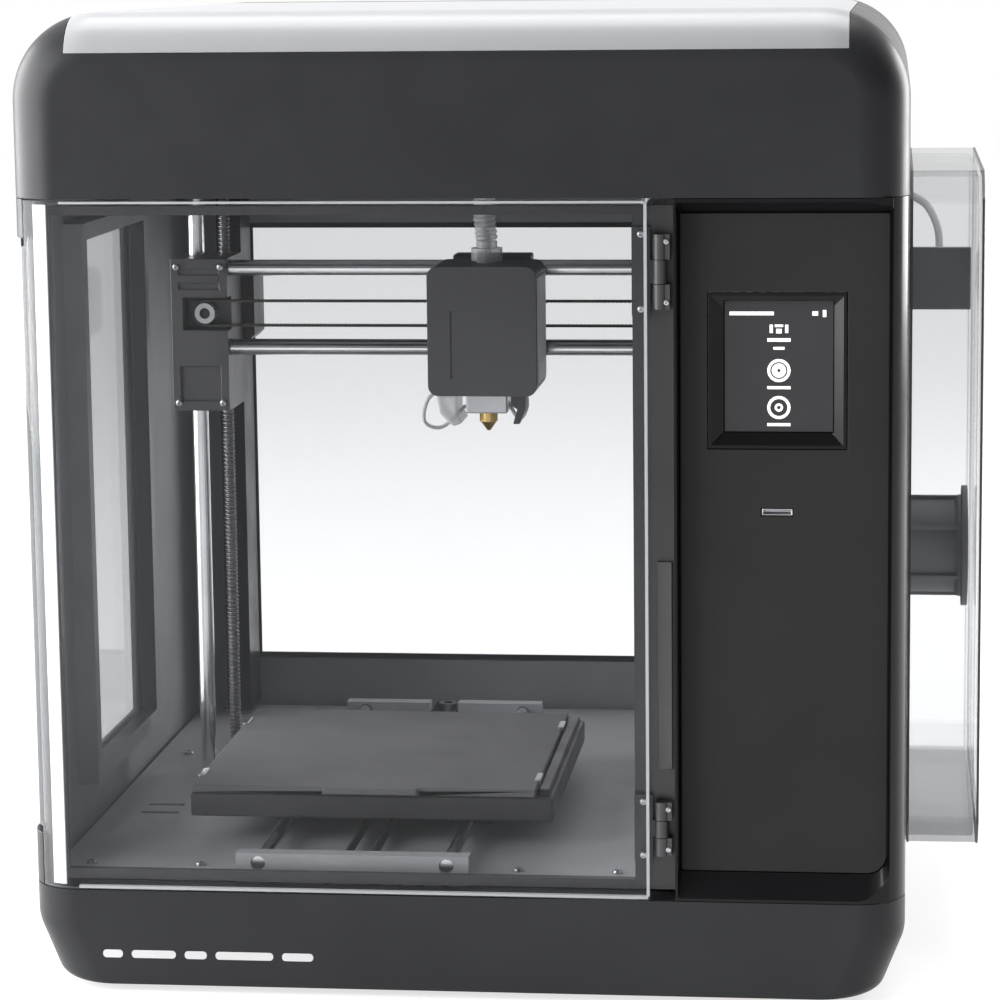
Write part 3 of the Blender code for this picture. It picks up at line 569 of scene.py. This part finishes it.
def build_control_column():
    face = FASCIA_FACE
    seat = face + FASCIA_THICKNESS + GAP
    mouth = loft_mesh([[(x, y, z) for x, z in column_outline(*reach)] for y, reach in (
        (FRONT - 1.5, (-1.0, 1.6, -12.2, 6.0, 12)), (face, (0.0, 0.2, 0.0, 0.4, 9)),
        (seat, (0.0, 0.2, 0.0, 0.4, 9)))])
    piece("column_surround", housing_shell(), [GLOSS, BLACK], replaces=["control_surround"],
          edge=0.5, segments=3,
          keep=[box_mesh((78, -190, SIDE_LOW), (220, -150.3, SIDE_HIGH))],
          add=[box_mesh((78, -180, SIDE_LOW), (171, -168, SIDE_HIGH))],
          cut=[mouth, box_mesh((84, -190, 66), (164, -160, 342.6))])
    x0, x1, z0, z1 = BEZEL
    slot_x0, slot_x1, slot_z0, slot_z1 = STICK_SLOT
    piece("column_fascia", outline_mesh(column_outline(0.4, -0.2, 0.4, 0.0, 8.6), face,
                                        face + FASCIA_THICKNESS),
          FASCIA, replaces=["control_panel"], edge=0.3,
          cut=[box_mesh((x0, -180, z0), (x1, -165, z1)),
               box_mesh((slot_x0, -180, slot_z0), (slot_x1, -165, slot_z1))])
    rim, slope = 1.5, 5.5
    piece("screen_frame", box_mesh((x0 + GAP, face, z0 + GAP), (x1 - GAP, face + 9, z1 - GAP)),
          GLOSS, replaces=["screen_bezel"], edge=0.35, segments=3,
          cut=[box_mesh((x0 + rim, face - 0.2, z0 + rim), (x1 - rim, face + 4, z1 - rim),
                        taper=(1, 1, {0: slope, 2: slope})),
               box_mesh((x0 + 7, -180, z0 + 7), (x1 - 6, -150, z1 - 4))])
    low, high = node_box("touch_screen")
    build_screen_symbols(low, high)
    port = box_mesh((slot_x0 + 0.4, -174.4, slot_z0 + 0.3), (slot_x1 - 0.4, -168, slot_z1 - 0.3))
    piece("memory_stick_slot", port, ALUMINIUM, slot="aluminium", edge=0.2,
          cut=[box_mesh((116, -176, 216.8), (128, -170, 218.7))],
          then_add=[box_mesh((116.6, -172.6, 217.6), (127.4, -169.5, 218.3))])


def build_screen_symbols(low, high):
    """Plain signs on the touch screen: a title bar, status marks and three entries."""
    face = low.y - 0.05
    middle = (low.x + high.x) / 2

    def bar(x0, x1, z, height):
        return box_mesh((x0, face, z - height / 2), (x1, low.y + 0.2, z + height / 2))

    def ring(x, z, radius, width):
        return turned_mesh([(radius - width, -0.1), (radius, -0.1), (radius, 0.2),
                            (radius - width, 0.2)], (x, low.y, z), "Y", 32, bored=True)

    top = high.z
    title_z, icon_z, pitch = top - 5.4, top - 14, 16.0
    marks = [bar(low.x + 2, low.x + 21, title_z, 1.6), bar(high.x - 9, high.x - 6.5, title_z, 1.8),
             bar(high.x - 4.5, high.x - 3, title_z, 3.0)]
    marks += [bar(middle - 4, middle - 2.6, icon_z + 2, 3.6), bar(middle + 2.6, middle + 4, icon_z + 2, 3.6),
              bar(middle - 1.8, middle + 1.8, icon_z + 3.3, 1.1),
              bar(middle - 1.2, middle + 1.2, icon_z + 1, 2.0),
              bar(middle - 5, middle + 5, icon_z - 2.8, 1.5),
              bar(middle - 2.4, middle + 2.4, icon_z - 6.4, 1.2)]
    for step, inner, width in ((1, 3.1, 2.4), (2, 1.8, 1.0)):
        z = icon_z - pitch * step
        marks += [ring(middle, z, 5.0, 1.3), ring(middle, z, inner, width),
                  bar(middle - 5, middle + 5, z - 7.4, 1.3)]
    piece("screen_symbols", joined(marks), GLOW, slot="screen_glass")


def build_chin_mark():
    """A plain row of dashes low on the chin."""
    dashes, x = [], -178.0
    for length in (9, 20, 10, 26, 14):
        dashes.append(outline_mesh(rounded(x, x + length, 15.2, 18.8, 1.6, 6),
                                   FRONT - 0.12, FRONT + 0.6))
        x += length + 4
    piece("chin_dashes", joined(dashes), PALE, slot="housing_plastic")


build_housing()
build_control_column()
build_chin_mark()


# ------------------------------------------------------------------ door, lid, cover

def build_door():
    main = box_mesh((DOOR_EDGE, -190, CHIN_TOP + 0.6), (DOOR_JAMB, -165, HEADER_BOTTOM - 0.9))
    lip = outline_mesh([(-220, 78), (-205.2, 73), (-205.2, 333), (-220, 328)], -178, -168.8)
    region = bpy.data.objects.new("region", main)
    tongue = bpy.data.objects.new("tongue", lip)
    for helper in (region, tongue):
        bpy.context.scene.collection.objects.link(helper)
    boolean(region, tongue, "UNION")
    door_field = evaluated_mesh(region)
    for helper in (region, tongue):
        bpy.data.objects.remove(helper)
    piece("door_glazing", housing_shell(), [CLEAR, CLEAR], body="door", replaces=["door_panel"],
          keep=[door_field], edge=0.5)
    outside = FRONT + GAP
    # Pale strips along the door's bottom, right and top edges, and a band on its rounded left edge: painted
    # highlight standing in for light caught by the clear door's edges.
    rim = [box_mesh((-188, outside, CHIN_TOP + 0.8), (66, DOOR_INSIDE, CHIN_TOP + 2.0)),
           box_mesh((65.4, outside, CHIN_TOP + 2.0), (66.7, DOOR_INSIDE, HEADER_BOTTOM - 1.4)),
           box_mesh((-188, outside, HEADER_BOTTOM - 2.2), (66, DOOR_INSIDE, HEADER_BOTTOM - 1.2))]
    centre = (LEFT + FRONT_FILLET, FRONT + FRONT_FILLET)
    start, sweep = 242, 17              # where the band of painted highlight sits on the door's rounded edge
    arc = corner(*centre, FRONT_FILLET + 0.12, start, sweep, 8)
    arc += reversed(corner(*centre, FRONT_FILLET - 0.6, start, sweep, 8))
    rim.append(outline_mesh(arc, CHIN_TOP + 2.5, HEADER_BOTTOM - 2.5, "Z"))
    piece("door_painted_highlight", joined(rim), PAINTED_HIGHLIGHT, body="door", slot="clear_acrylic")
    piece("hinge_strip", box_mesh((70.5, -177.3, 104), (76.8, -175.9, 196)), HEAD,
          slot="black_plastic", edge=0.4)
    for low, high in ((66.0, 90.0), (306.0, 338.0)):
        screws(f"door_hinge_screws_{int(low)}", [(64, -179.2, low), (64, -179.2, high)],
               1.6, "Y", "door", outwards=-1)
        screws(f"jamb_hinge_screws_{int(low)}", [(75, -181.0, low + 3), (75, -181.0, high - 3)],
               1.3, "Y", "root", outwards=-1, height=0.6)


def build_lid():
    piece("lid_shell", housing_shell(), [LID, LID], body="lid", replaces=["lid_panel"], edge=0.8,
          keep=[box_mesh((LID_LEFT, -190, LID_SEAM), (LID_RIGHT, LID_BACK, 440))])


def build_spool_bay():
    low, high = node_box("spool_cover")
    wall = COVER_WALL
    sides = [(-102, 62), (-90, 50), (91, 50), (103, 62), (103, 347), (91, 359), (-90, 359),
             (-102, 347)]
    inner = [(y + (wall if y < 0 else -wall), z + (wall if z < 200 else -wall)) for y, z in sides]
    piece("spool_cover_shell", outline_mesh(sides, low.x, high.x, "X"), COVER,
          body="spool_cover", replaces=["spool_cover"], edge=1.4, segments=4,
          cut=[outline_mesh(inner, low.x - 5, high.x - wall, "X")])
    proud = 0.15
    outside = [(y + (-proud if y < 0 else proud), z + (-proud if z < 200 else proud))
               for y, z in sides]
    for name, x in {"cover_gasket": low.x + 0.3, "cover_rim": high.x - 1.2}.items():
        piece(name, outline_mesh(outside, x, x + 1.0, "X"), BLACK, body="spool_cover",
              slot="black_plastic", cut=[outline_mesh(inner, x - 5, x + 5, "X")])
    hub = turned_mesh([(9.7, -21), (24.5, -21), (24.5, -19.5), (22.5, -18.5), (22.5, 17),
                       (24.5, 18.5), (24.5, 20.2), (29, 20.3), (29, 23.1), (28, 23.3), (13, 23.3),
                       (12, 18), (9.7, 18)], (184, HUB_Y, HUB_Z), "X", 64, bored=True)
    ribs = []
    for i in range(6):
        rib = box_mesh((166, -1.2, 21.5), (203, 1.2, 24.4))
        rib.transform(Matrix.Translation((0, HUB_Y, HUB_Z)) @ Matrix.Rotation(i * math.pi / 3, 4, "X"))
        ribs.append(rib)
    piece("hub_shell", joined([hub, *ribs]), HUB, body="spool_hub", replaces=["spool_hub"],
          edge=0.3)
    piece("guide_block", outline_mesh([(-20, 289), (20, 296), (20, 312), (-20, 319)], 178.4, 207.5,
                                      "X"), HUB, replaces=["filament_guide"], edge=1.0,
          segments=3, cut=[rod_mesh((193, 0, 300), 1.5, 60)])
    piece("guide_tube", tube_mesh(smooth_route([(193, 0, 314), (192, 3, 326), (187, 9, 336),
                                                (179, 16, 341)]), 1.9, 14), MILKY,
          slot="translucent_plastic")


build_door()
build_lid()
build_spool_bay()


# ------------------------------------------------------------------ chamber and motion

def build_chamber():
    spots = [(x, y) for x in (-190, -140) for y in (-150, 60, 160)] + [(5, -150), (50, -150),
                                                                       (50, 120)]
    screws("floor_screws", [(x, y, FLOOR_TOP) for x, y in spots], 2.4, "Z", "root")
    slots = [box_mesh((-188, y, FLOOR_TOP - 0.2), (-170, y + 3, FLOOR_TOP + 0.15))
             for y in (-60, -45)]
    piece("floor_slots", joined(slots), GLOSS, slot="gloss_black")
    pitch = 2.0
    for side, (x, y) in {"left": LEFT_SCREW, "right": RIGHT_SCREW}.items():
        low, high = node_box(f"lead_screw_{side}")
        profile, z = [(0.05, low.z), (2.6, low.z), (2.6, low.z + 4)], low.z + 4
        while z < high.z - 3:
            profile += [(2.2, z), (2.95, z + 0.6), (2.95, z + 1.1), (2.2, z + 1.7)]
            z += pitch
        profile += [(2.6, high.z - 0.5), (0.05, high.z)]
        piece(f"lead_thread_{side}", turned_mesh(profile, (x, y, 0), sides=20), THREAD,
              body=f"lead_screw_{side}", replaces=[f"lead_screw_{side}"], sharp=20)


def belt_loop(start, end, low, high, radius, thickness, tooth, stand):
    """Toothed belt round two pulleys, as a closed band."""
    run = Vector(end) - Vector(start)
    heading = math.atan2(run.y, run.x)
    path = []
    for centre, turn, to in ((Vector(end), heading - math.pi / 2, Vector(start)),
                             (Vector(start), heading + math.pi / 2, Vector(end))):
        for i in range(13):
            angle = turn + math.pi * i / 12
            path.append((centre + radius * Vector((math.cos(angle), math.sin(angle))),
                         Vector((math.cos(angle), math.sin(angle)))))
        angle = turn + math.pi
        out = Vector((math.cos(angle), math.sin(angle)))
        steps = int(run.length / (tooth / 2))
        for i in range(1, steps):
            place = (centre * (steps - i) + to * i) / steps + out * radius
            path.append((place, out))
    rings = []
    for i, (place, out) in enumerate(path):
        inside = place + out * (0.45 if i % 2 else 0.0)
        outside = place + out * (thickness + 0.3)
        rings.append([stand(p.x, p.y, w) for p, w in
                      ((inside, low), (outside, low), (outside, high), (inside, high))])
    return loft_mesh(rings, looped=True)


def cross_rod_holes():
    return [rod_mesh((-60, CROSS_ROD_Y, z), ROD_HOLE, 236, "X") for z in CROSS_ROD_HEIGHTS]


def build_gantry():
    up = RISE
    ends = [(x, BELT_Z) for x in PULLEYS.values()]
    piece("cross_belt", belt_loop(*ends, 8.5, 13.5, 5.3, 0.9, 2.0, STANDS["Y"]), BELT,
          body="gantry", replaces=["x_belt"], sharp=50)
    piece("bed_belt", belt_loop((-67.5, -150), (-67.5, 158), 51, 56, 5.3, 0.9, 2.0, STANDS["Z"]),
          BELT, replaces=["y_belt"], sharp=50)
    piece("left_bearing_block", box_mesh((-181, 5, 230 + up), (-153, 42, 305 + up)), BLACK,
          body="gantry", replaces=["gantry_left_block"], edge=1.2, segments=3,
          cut=[*cross_rod_holes(), rod_mesh((*LEFT_ROD, 270), ROD_HOLE, 100),
               rod_mesh((*LEFT_SCREW, 270), SCREW_HOLE, 100),
               rod_mesh((PULLEYS["drive"], 25, BELT_Z), 2.5, 60, "Y"),
               box_mesh((-175, 0, BELT_Z - 8), (-150, 15, BELT_Z + 8)),
               box_mesh((-177, 0, 235 + up), (-157, 6.5, 252 + up)),
               box_mesh((-177, 0, 290 + up), (-157, 6.2, 293 + up)),
               box_mesh((-177, 0, 297 + up), (-157, 6.2, 300 + up))])
    piece("right_bearing_block", box_mesh((46, 5, 230 + up), (62, 42, 305 + up)), BLACK,
          body="gantry", replaces=["gantry_right_block"], edge=1.0, segments=3,
          add=[box_mesh((48, 6, 304 + up), (60, 16, 312 + up))],
          cut=[*cross_rod_holes(), rod_mesh((*RIGHT_ROD, 270), ROD_HOLE, 110),
               rod_mesh((*RIGHT_SCREW, 270), SCREW_HOLE, 110),
               box_mesh((40, 0, BELT_Z - 8), (60.8, 15, BELT_Z + 8))])
    screws("block_screws", [(x, 4.9, z + up) for x, z in ((-178, 301), (-156, 301), (-178, 234),
                                                         (-156, 234), (49, 235), (59, 235))],
           1.7, "Y", "gantry", outwards=-1)
    count = 16
    for name, x in PULLEYS.items():
        teeth = []
        for i in range(count):
            tooth = box_mesh((-0.55, -2.5, 4.2), (0.55, 2.5, 5.05))
            tooth.transform(Matrix.Rotation(i * 2 * math.pi / count, 4, "Y"))
            teeth.append(tooth)
        bore = 2.6 if name == "drive" else 1.6
        wheel = turned_mesh([(bore, -2.7), (5.0, -2.7), (5.0, -2.45), (4.4, -2.4), (4.4, 2.4),
                             (5.0, 2.45), (5.0, 2.7), (bore, 2.7)], (0, 0, 0), "Y", 40, bored=True)
        mesh = joined([wheel, *teeth])
        mesh.transform(Matrix.Translation((x, PULLEY_Y, BELT_Z)))
        piece(f"{name}_pulley", mesh, ALUMINIUM, body=f"x_{name}_pulley",
              replaces=[f"x_{name}_pulley"])
    loop = smooth_route([(56.2, 127, 330), (50, 120, 322), (46, 104, 302), (47, 74, 292),
                         (53, 54, 298), (54, 42.4, 300)], 14)
    trunk = piece("gantry_cable", tube_mesh(loop, 3.6, 16, lambda i: 1.0 if i % 2 else 0.88),
                  BLACK, body="gantry", slot="black_plastic")
    trunk.parent = None
    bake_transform(trunk)


def build_head():
    x, y, up = HEAD_X, HEAD_Y, RISE
    low, high = node_box("extruder_cover")
    slats = range(-28, -4, 5)
    vents = [box_mesh((x + side * 25 - 3, slat, 258 + up), (x + side * 25 + 3, slat + 2.2, 290 + up))
             for side in (-1, 1) for slat in slats]
    piece("head_cover", outline_mesh(rounded(low.x, high.x, low.z, high.z, 5), low.y, high.y), HEAD,
          body="extruder", replaces=["extruder_cover"], edge=0.45, segments=3,
          cut=[box_mesh((x - 23.5, -35.3, 235 + up), (x + 23.5, 10, 302.5 + up)),
               rod_mesh((x, y, 304 + up), 5.5, 10),
               outline_mesh(rounded(x - 15, x - 14, 252 + up, 284 + up, 0.4), -40, -37.2),
               *vents])
    # A pale plate on the head's right side: painted highlight that makes that side of the dark head read
    # lighter.
    piece("head_side_painted_highlight", box_mesh((high.x - 0.1, low.y + 4, low.z + 5.5),
                                      (high.x + 0.6, high.y - 3.5, high.z - 5.5)), PALE,
          body="extruder", slot="black_plastic", edge=0.25,
          cut=[box_mesh((x + 22, slat, 258 + up), (x + 30, slat + 2.2, 290 + up))
               for slat in slats])
    piece("nozzle_wires", joined([
        tube_mesh(smooth_route([(x - 20, -22, 246 + up), (x - 28, -24, 240 + up),
                                (x - 30, -22, 229 + up), (x - 22, -18, 226 + up),
                                (x - 11, -15, 236 + up)]), 0.9, 8),
        tube_mesh(smooth_route([(x + 18, -16, 246 + up), (x + 19, -18, 236 + up),
                                (x + 15, -17, 230 + up), (x + 9.5, -15, 238 + up)]), 0.9, 8)]),
          PALE, body="extruder", slot="translucent_plastic")
    piece("nozzle_tip", turned_mesh([(0.3, 224.0), (0.9, 224.0), (3.6, 227.8), (4.0, 228.4),
                                     (4.4, 228.5), (4.4, 232.7), (0.3, 232.7)], (x, y, up), "Z", 24),
          BRASS, body="extruder", replaces=["nozzle"])
    piece("part_duct", outline_mesh([(x - 24, 242.6 + up), (x - 14, 242.6 + up),
                                     (x - 14, 234 + up), (x - 11, 229 + up), (x - 16, 227 + up),
                                     (x - 22, 233 + up)], y - 12, y + 12), MILKY, body="extruder",
          replaces=["fan_duct"], edge=1.5, segments=4)
    blades, count, twist = [], 7, 1.1
    for i in range(count):
        blade = box_mesh((4, -1.6, -0.5), (13, 1.6, 0.5))
        for vertex in blade.vertices:
            vertex.co.z += vertex.co.y * twist
        blade.transform(Matrix.Rotation(i * 2 * math.pi / count, 4, "Y"))
        blades.append(blade)
    fan = joined([turned_mesh([(0.1, -2.5), (5.4, -2.5), (6, -1.9), (6, 2.5), (0.1, 2.5)],
                              (0, 0, 0), "Y", 32), *blades])
    fan.transform(Matrix.Translation((x, -31, 274 + up)))
    piece("fan_blades", fan, BLACK, body="fan_rotor", replaces=["fan_rotor"])
    route = smooth_route([(x, y, 315.8), (x - 1, y + 0.5, 335), (x + 4, y + 4, 362),
                          (x + 20, y + 12, 386), (x + 44, y + 18, 394), (x + 66, y + 22, 378),
                          (x + 79, y + 23, 350), (54, 10, 328), (54, 10, 312.5)], 24)
    route = [place + Vector((0, 0, up)) for place in route]
    sleeve = piece("sleeve", tube_mesh(route, 5.3, 20, lambda i: 1.0 if i % 3 else 0.86), MILKY,
                   body="extruder", replaces=["cable_sleeve"])
    inner = piece("filament_tube", tube_mesh(route[::4], 2.0, 12), PALE, body="extruder",
                  slot="translucent_plastic")
    for flexible in (sleeve, inner):
        flexible.parent = None
        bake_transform(flexible)


def build_bed():
    low, high = node_box("build_plate")
    tray_low, tray_high = node_box("heated_bed")
    piece("bed_tray", box_mesh((tray_low.x, tray_low.y, 62), (tray_high.x, tray_high.y, 73)), BLACK,
          body="bed", replaces=["heated_bed"], edge=1.6, segments=4,
          add=[box_mesh((tray_high.x - 7, tray_low.y + 6, 72), (tray_high.x - 2, tray_high.y - 4, 76))])
    piece("flex_plate", box_mesh((low.x, low.y + 3, 73.3), (high.x, high.y, high.z)), PLATE,
          body="bed", replaces=["build_plate"], edge=0.7, segments=3,
          add=[box_mesh((-89.5, low.y, 74), (-45.5, low.y + 8, high.z))])
    clips = [box_mesh((x, y, 72.5), (x + 3, y + 14, 77.6)) for x in (low.x - 0.8, high.x - 2.2)
             for y in (low.y + 20, high.y - 34)]
    piece("plate_clips", joined(clips), SCREWS, body="bed", slot="screw_steel", edge=0.5)


def build_electronics():
    """Connectors and capacitors on the board, and the blades of the mains inlet."""
    low, high = node_box("main_board")
    top = low.z + 2.0
    plugs = [box_mesh((x, high.y - 9, top - 0.2), (x + 9, high.y - 2, top + 7))
             for x in range(int(low.x) + 6, int(high.x) - 10, 14)]
    piece("board_plugs", joined(plugs), PALE, slot="translucent_plastic", edge=0.4)
    cans = [rod_mesh((low.x + 12 + 11 * i, low.y + 12, top + 3.9), 3.6, 8.2, sides=32)
            for i in range(6)]
    piece("board_capacitors", joined(cans), ALUMINIUM, slot="aluminium", edge=0.4)
    blades = [box_mesh((x - 0.9, 167.8, 23 + lift - 2.2), (x + 0.9, 178, 23 + lift + 2.2))
              for x, lift in ((94.5, -1.8), (100, 2.6), (105.5, -1.8))]
    piece("inlet_blades", joined(blades), SCREWS, slot="screw_steel", edge=0.3)


build_chamber()
build_electronics()
build_gantry()
build_head()
build_bed()


# ------------------------------------------------------------------ stage

def area_light(name, place, size, power):
    """Soft rectangle turned to the middle of the machine; metres and watts."""
    middle = Vector((-0.02, 0, 0.22))
    light = bpy.data.lights.new(name, "AREA")
    light.shape = "RECTANGLE"
    light.size, light.size_y = size
    light.energy = power
    holder = bpy.data.objects.new(name, light)
    holder.location = place
    holder.rotation_euler = (middle - Vector(place)).to_track_quat("-Z", "Y").to_euler()
    bpy.context.scene.collection.objects.link(holder)


def build_floor():
    """Plain white ground, a little bright of itself so that it meets the background."""
    floor_mesh = bpy.data.meshes.new("studio_floor")
    work = bmesh.new()
    bmesh.ops.create_grid(work, x_segments=1, y_segments=1, size=6.0)
    work.to_mesh(floor_mesh)
    work.free()
    paint, tree, output = new_tree("floor_white")
    shader = principled(tree, (0.35, 0.35, 0.35), 0.7, bump=0.0, shade=0.01,
                        Emission_Color=(1, 1, 1, 1), Emission_Strength=0.7)
    tree.links.new(shader.outputs[0], output.inputs["Surface"])
    floor_mesh.materials.append(paint)
    ground = bpy.data.objects.new("studio_floor", floor_mesh)
    bpy.context.scene.collection.objects.link(ground)


def build_lights():
    area_light("left_softbox", (-1.3, -0.2, 0.55), (2.4, 1.0), 62)
    area_light("top_softbox", (0.0, 0.15, 1.7), (1.4, 1.0), 25)
    area_light("right_rear_softbox", (1.4, 1.0, 0.6), (0.9, 1.0), 30)


def build_camera(scene):
    """A long lens just above the lid, a little right of the middle, looking slightly down."""
    camera = bpy.data.cameras.new("photo_view")
    camera.lens, camera.sensor_width = 119.1, 36.0
    camera.shift_x, camera.shift_y = -0.05, -0.034
    holder = bpy.data.objects.new("photo_view", camera)
    yaw, pitch, roll = (math.radians(a) for a in (5.97, 8.67, -0.53))
    forward = Vector((-math.sin(yaw) * math.cos(pitch), math.cos(yaw) * math.cos(pitch),
                      -math.sin(pitch)))
    turn = forward.to_track_quat("-Z", "Y").to_matrix() @ Matrix.Rotation(roll, 3, "Z")
    holder.matrix_world = Matrix.Translation((0.171, -1.582, 0.453)) @ turn.to_4x4()
    scene.collection.objects.link(holder)
    scene.camera = holder


def build_room(scene):
    """Soft surroundings: white behind and to the left, dimmer in front and front right."""
    world = bpy.data.worlds.new("studio")
    world.use_nodes = True
    tree = world.node_tree
    background = tree.nodes["Background"]
    background.inputs["Color"].default_value = (1, 1, 1, 1)
    place = tree.nodes.new("ShaderNodeTexCoord")

    def ramp(direction, start, end, low, high):
        """Brightness that changes along a direction."""
        along = tree.nodes.new("ShaderNodeVectorMath")
        along.operation = "DOT_PRODUCT"
        along.inputs[1].default_value = direction
        remap = tree.nodes.new("ShaderNodeMapRange")
        for socket, value in zip(("From Min", "From Max", "To Min", "To Max"),
                                 (start, end, low, high)):
            remap.inputs[socket].default_value = value
        tree.links.new(place.outputs["Generated"], along.inputs[0])
        tree.links.new(along.outputs["Value"], remap.inputs["Value"])
        return remap.outputs["Result"]

    def both(operation, first, second):
        """One brightness out of two, each a constant or a socket."""
        combine = tree.nodes.new("ShaderNodeMath")
        combine.operation = operation
        for socket, value in zip(combine.inputs, (first, second)):
            if isinstance(value, float):
                socket.default_value = value
            else:
                tree.links.new(value, socket)
        return combine.outputs[0]

    total = both("ADD", ramp((0, 1, 0), -0.1, 0.3, 0.3, 1.0), ramp((-1, 0, 0), 0.2, 0.7, 0.0, 0.6))
    total = both("ADD", total, ramp((0.7, -0.7, 0), 0.5, 0.95, 0.0, -0.3))
    total = both("MINIMUM", total, 1.0)
    tree.links.new(total, background.inputs["Strength"])
    scene.world = world
    scene.view_settings.view_transform = "Standard"


build_floor()
build_room(bpy.context.scene)
build_lights()
build_camera(bpy.context.scene)
